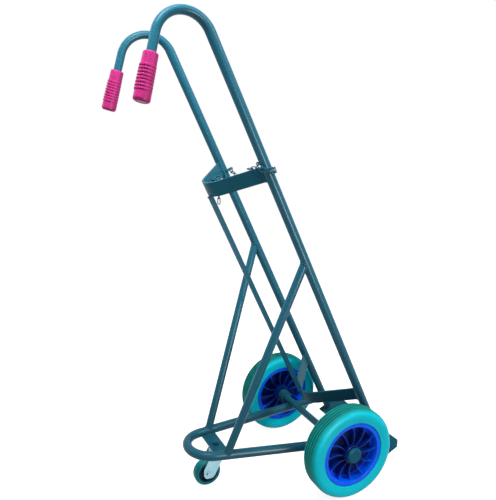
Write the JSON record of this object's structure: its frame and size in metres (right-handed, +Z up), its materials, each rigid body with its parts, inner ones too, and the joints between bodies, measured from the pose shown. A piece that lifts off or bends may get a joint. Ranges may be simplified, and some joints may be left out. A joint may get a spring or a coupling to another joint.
{
  "type": "gas cylinder trolley",
  "caption": "Leaning tube-frame gas cylinder trolley with hooked handles, V cradles, toe plate, retaining chain, large main wheels on an axle and a swivel castor behind.",
  "frame": {"origin": "on the floor, under the middle of the whole trolley's box", "axes": "+Z up, +X towards the toe plate in front, +Y towards the trolley's left side, so the axle lies along Y and the handles are at -X"},
  "size_m": [0.7492, 0.4626, 1.2115],
  "materials": {
    "frame_paint": "gloss paint",
    "chain_steel": "painted, worn",
    "washer_steel": "bright zinc plate",
    "axle_cap": "pressed, satin",
    "grip_vinyl": "soft satin",
    "wheel_rubber": "smooth, satin",
    "rim_plastic": "moulded gloss",
    "bush_plastic": "moulded",
    "zinc_plate": "bright zinc plate",
    "ball_steel": "polished",
    "castor_hub_plastic": "moulded",
    "castor_rubber": "satin"
  },
  "bodies": {
    "frame": {"left_upright": "frame_paint", "right_upright": "frame_paint", "upper_cradle": "frame_paint", "lower_cradle": "frame_paint", "spine_bar": "frame_paint", "toe_plate": "frame_paint", "base_loop": "frame_paint", "castor_bar": "frame_paint", "left_strut": "frame_paint", "right_strut": "frame_paint", "left_chain_eye": "frame_paint", "right_chain_eye": "frame_paint", "tail_eye": "frame_paint", "axle": "frame_paint", "left_collar": "frame_paint", "right_collar": "frame_paint", "castor_king_nut": "frame_paint", "castor_king_bolt": "frame_paint", "left_washer": "washer_steel", "right_washer": "washer_steel", "left_axle_cap": "axle_cap", "right_axle_cap": "axle_cap", "left_grip": "grip_vinyl", "right_grip": "grip_vinyl", "castor_housing": "zinc_plate"},
    "left_wheel": {"left_rim": "rim_plastic", "left_tyre": "wheel_rubber", "left_bush": "bush_plastic"},
    "right_wheel": {"right_rim": "rim_plastic", "right_tyre": "wheel_rubber", "right_bush": "bush_plastic"},
    "castor_swivel": {"castor_fork": "zinc_plate", "castor_bush": "bush_plastic", "castor_wheel_bolt": "zinc_plate", "castor_wheel_nut": "zinc_plate", "castor_balls": "ball_steel"},
    "castor_wheel": {"castor_hub": "castor_hub_plastic", "castor_tyre": "castor_rubber"},
    "chain_span": {"chain_span": "chain_steel"},
    "chain_tail": {"chain_tail": "chain_steel"}
  },
  "joints": [
    {"name": "left_wheel_spin", "type": "hinge", "parent": "frame", "child": "left_wheel", "pos_m": [0.16032, 0.1965, 0.125], "axis": [0, 1, 0], "continuous": true},
    {"name": "right_wheel_spin", "type": "hinge", "parent": "frame", "child": "right_wheel", "pos_m": [0.16032, -0.1965, 0.125], "axis": [0, 1, 0], "continuous": true},
    {"name": "castor_turn", "type": "hinge", "parent": "frame", "child": "castor_swivel", "pos_m": [-0.14068, 0, 0.106], "axis": [0, 0, 1], "continuous": true},
    {"name": "castor_wheel_spin", "type": "hinge", "parent": "castor_swivel", "child": "castor_wheel", "pos_m": [-0.16968, 0, 0.0375], "axis": [0, 1, 0], "continuous": true},
    {"name": "chain_swing", "type": "hinge", "parent": "frame", "child": "chain_span", "pos_m": [-0.04233, 0, 0.85988], "axis": [0, 1, 0], "range_deg": [-45, 5]},
    {"name": "tail_swing", "type": "hinge", "parent": "frame", "child": "chain_tail", "pos_m": [-0.10008, 0.06124, 0.84265], "axis": [0.6213, 0.727, 0.2923], "range_deg": [-45, 5]}
  ]
}
